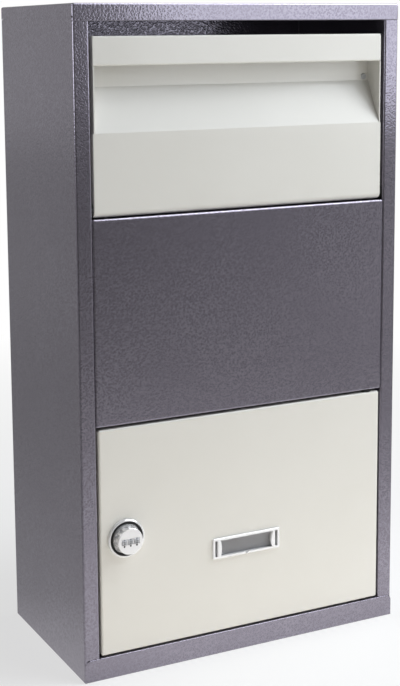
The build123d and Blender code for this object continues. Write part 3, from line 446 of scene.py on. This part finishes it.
def soft_lamp(name, place, target, size, power, hex_colour):
    """A rectangular lamp that faces its target and that the camera doesn't see."""
    lamp = bpy.data.lights.new(name, "AREA")
    lamp.color = linear(hex_colour)[:3]
    lamp.shape = "RECTANGLE"
    lamp.size, lamp.size_y = size
    lamp.energy = power
    holder = bpy.data.objects.new(name, lamp)
    holder.location = place
    holder.rotation_euler = (Vector(target) - Vector(place)).to_track_quat("-Z", "Y").to_euler()
    holder.visible_camera = False
    scene.collection.objects.link(holder)
    return holder


soft_lamp("front_right_softbox", (0.645, -0.785, 0.76), (0.0, -0.14, 0.76), (0.9, 1.2), 6.3, COOL_WHITE)
soft_lamp("right_key", (1.0, -0.5, 0.55), (0.0, -0.17, 0.1), (0.4, 0.4), 5.5, COOL_WHITE)
soft_lamp("overhead_strip", (0.7, -0.35, 1.35), (0.0, -0.15, 0.1), (1.0, 0.8), 16.0, COOL_WHITE)
floor_bounce = soft_lamp(
    "floor_bounce", (0.0, -0.57, floor_z + BOUNCE_LIFT), (0.0, -0.57, 0.0), (1.2, 0.76), 2.4, WARM_WHITE
)
floor_bounce.visible_glossy = False
left_rim = soft_lamp("left_rim_panel", (-1.1, -0.05, 0.6), (0.0, -0.05, 0.6), (0.8, 0.9), 6.5, COOL_WHITE)
left_rim.visible_diffuse = False

# The room: white to the eye, dim on matt things, and in a mirror darker in front than behind on the left. The
# change runs between two values of Y less X of the direction.
AMBIENT = 0.12
ROOM_IN_FRONT, SWEEP_BEHIND_LEFT = 0.2, 0.52
CHANGE_STARTS, CHANGE_ENDS = 0.2, 1.3
world = bpy.data.worlds.new("white_room")
scene.world = world
world.use_nodes = True
room = world.node_tree
room.nodes.clear()
room_path = add(room, "ShaderNodeLightPath")
direction = add(room, "ShaderNodeSeparateXYZ", {0: add(room, "ShaderNodeTexCoord").outputs["Generated"]})
to_back_left = add(
    room, "ShaderNodeMath", {0: direction.outputs["Y"], 1: direction.outputs["X"]}, operation="SUBTRACT"
)
in_a_mirror = add(
    room,
    "ShaderNodeMapRange",
    {
        "Value": to_back_left.outputs[0],
        "From Min": CHANGE_STARTS,
        "From Max": CHANGE_ENDS,
        "To Min": ROOM_IN_FRONT,
        "To Max": SWEEP_BEHIND_LEFT,
    },
)
mirror_or_glass = add(
    room,
    "ShaderNodeMath",
    {0: room_path.outputs["Is Glossy Ray"], 1: room_path.outputs["Is Transmission Ray"]},
    operation="MAXIMUM",
)
on_things = add(
    room, "ShaderNodeMix", {0: mirror_or_glass.outputs[0], 2: AMBIENT, 3: in_a_mirror.outputs[0]}
)
strength = add(
    room, "ShaderNodeMix", {0: room_path.outputs["Is Camera Ray"], 2: on_things.outputs[0], 3: 1.0}
)
backdrop = add(room, "ShaderNodeBackground", {"Color": (1.0, 1.0, 1.0, 1.0), "Strength": strength.outputs[0]})
add(room, "ShaderNodeOutputWorld", {"Surface": backdrop.outputs[0]})

# The floor: matt paper that keeps the shadow near the box and fades to white further out. A mirror sees it glow
# with painted pools of light, each given as x, y, reach and level, dimmed by a painted shadow of the box at the
# back left, where a painted brighter far sweep rises instead.
FLOOR_HALF = 6.0
FADE_STARTS, FADE_ENDS, FADE_LEAST = 0.45, 1.3, 0.65
PAINTED_FAR_LEVEL, FAR_REACH = 0.36, 2.5
SHADOW_STARTS, SHADOW_ENDS, SHADOW_LEAVES = -0.05, 0.25, 0.55
PAINTED_LIGHT_POOLS = [(0.1, -0.2, 0.48, 1.38), (1.3, -1.5, 0.6, 0.42), (3.5, -2.6, 0.7, 2.4)]
corners = [(x, y, floor_z) for x, y in ((-1, -1), (1, -1), (1, 1), (-1, 1))]
floor_mesh = bpy.data.meshes.new("studio_floor")
floor_mesh.from_pydata([(x * FLOOR_HALF, y * FLOOR_HALF, z) for x, y, z in corners], [], [(0, 1, 2, 3)])
floor = bpy.data.objects.new("studio_floor", floor_mesh)
scene.collection.objects.link(floor)
paper, tree, place, output = finish_named("white_paper_sweep")
distance = add(tree, "ShaderNodeVectorMath", {0: place}, operation="LENGTH")
fade = add(
    tree,
    "ShaderNodeMapRange",
    {
        "Value": distance.outputs["Value"],
        "From Min": FADE_STARTS,
        "From Max": FADE_ENDS,
        "To Min": FADE_LEAST,
        "To Max": 1.0,
    },
)
spot = add(tree, "ShaderNodeSeparateXYZ", {0: place})
back_left = add(
    tree, "ShaderNodeMath", {0: spot.outputs["Y"], 1: spot.outputs["X"]}, operation="SUBTRACT"
)
far_share = add(
    tree, "ShaderNodeMapRange", {"Value": back_left.outputs[0], "From Min": 0.0, "From Max": FAR_REACH}
)
far_rise = add(tree, "ShaderNodeMath", {0: far_share.outputs[0]}, operation="SQRT")
# Painted light: the glow of the far sweep, rising towards the back left.
painted_far_sweep = add(tree, "ShaderNodeMath", {0: far_rise.outputs[0], 1: PAINTED_FAR_LEVEL}, operation="MULTIPLY")
# Painted shadow of the box: it dims the painted pools at the back left.
painted_shadow_share = add(
    tree,
    "ShaderNodeMapRange",
    {
        "Value": back_left.outputs[0],
        "From Min": SHADOW_STARTS,
        "From Max": SHADOW_ENDS,
        "To Min": 1.0,
        "To Max": SHADOW_LEAVES,
    },
)
painted_pool_light = painted_far_sweep.outputs[0]
# Each pool is painted light, an emission that only mirrors and glass see.
for x, y, reach, level in PAINTED_LIGHT_POOLS:
    away = add(tree, "ShaderNodeVectorMath", {0: place, 1: (x, y, floor_z)}, operation="DISTANCE")
    fall = add(tree, "ShaderNodeMath", {0: away.outputs["Value"], 1: -1.0 / reach}, operation="MULTIPLY")
    pool = add(tree, "ShaderNodeMath", {0: fall.outputs[0]}, operation="EXPONENT")
    shaded = add(tree, "ShaderNodeMath", {0: pool.outputs[0], 1: painted_shadow_share.outputs[0]}, operation="MULTIPLY")
    painted_pool_light = add(
        tree,
        "ShaderNodeMath",
        {0: shaded.outputs[0], 1: level, 2: painted_pool_light},
        operation="MULTIPLY_ADD",
        use_clamp=True,
    ).outputs[0]
floor_path = add(tree, "ShaderNodeLightPath")
seen = add(
    tree,
    "ShaderNodeMath",
    {0: floor_path.outputs["Is Camera Ray"], 1: fade.outputs[0]},
    operation="MULTIPLY",
)
mirrored = add(
    tree,
    "ShaderNodeMath",
    {0: floor_path.outputs["Is Glossy Ray"], 1: floor_path.outputs["Is Transmission Ray"]},
    operation="MAXIMUM",
)
matt = add(tree, "ShaderNodeBsdfDiffuse", {"Color": linear("#f2f2f1")})
white = add(tree, "ShaderNodeEmission", {"Color": (1.0, 1.0, 1.0, 1.0), "Strength": 1.0})
# Painted light: for mirror and glass rays the floor glows with the painted pools, though it is no lamp.
painted_light_glow = add(tree, "ShaderNodeEmission", {"Color": (1.0, 1.0, 1.0, 1.0), "Strength": painted_pool_light})
to_the_eye = add(
    tree, "ShaderNodeMixShader", {0: seen.outputs[0], 1: matt.outputs[0], 2: white.outputs[0]}
)
mixed = add(
    tree, "ShaderNodeMixShader", {0: mirrored.outputs[0], 1: to_the_eye.outputs[0], 2: painted_light_glow.outputs[0]}
)
tree.links.new(mixed.outputs[0], output.inputs["Surface"])
floor_mesh.materials.append(paper)

# Camera: stands a little left of the box, above its middle, and looks down at it.
IMAGE_WIDTH, IMAGE_HEIGHT = 400, 686
FOCAL_PIXELS = 1400.37
CENTRE_PIXEL = (179.148, 241.921)
YAW, PITCH, ROLL = (math.radians(a) for a in (-26.55346, -8.38576, 0.49882))
camera_data = bpy.data.cameras.new("view_camera")
camera_data.sensor_width = 36.0
camera_data.lens = FOCAL_PIXELS * camera_data.sensor_width / IMAGE_HEIGHT
camera_data.shift_x = (IMAGE_WIDTH / 2 - CENTRE_PIXEL[0]) / IMAGE_HEIGHT
camera_data.shift_y = (CENTRE_PIXEL[1] - IMAGE_HEIGHT / 2) / IMAGE_HEIGHT
camera = bpy.data.objects.new("view_camera", camera_data)
turn = Matrix.Rotation(YAW, 4, "Z") @ Matrix.Rotation(PITCH, 4, "X") @ Matrix.Rotation(ROLL, 4, "Y")
camera.matrix_world = (
    Matrix.Translation((-0.61413, -1.26988, 0.27231)) @ turn @ Matrix.Rotation(math.radians(90), 4, "X")
)
scene.collection.objects.link(camera)
scene.camera = camera
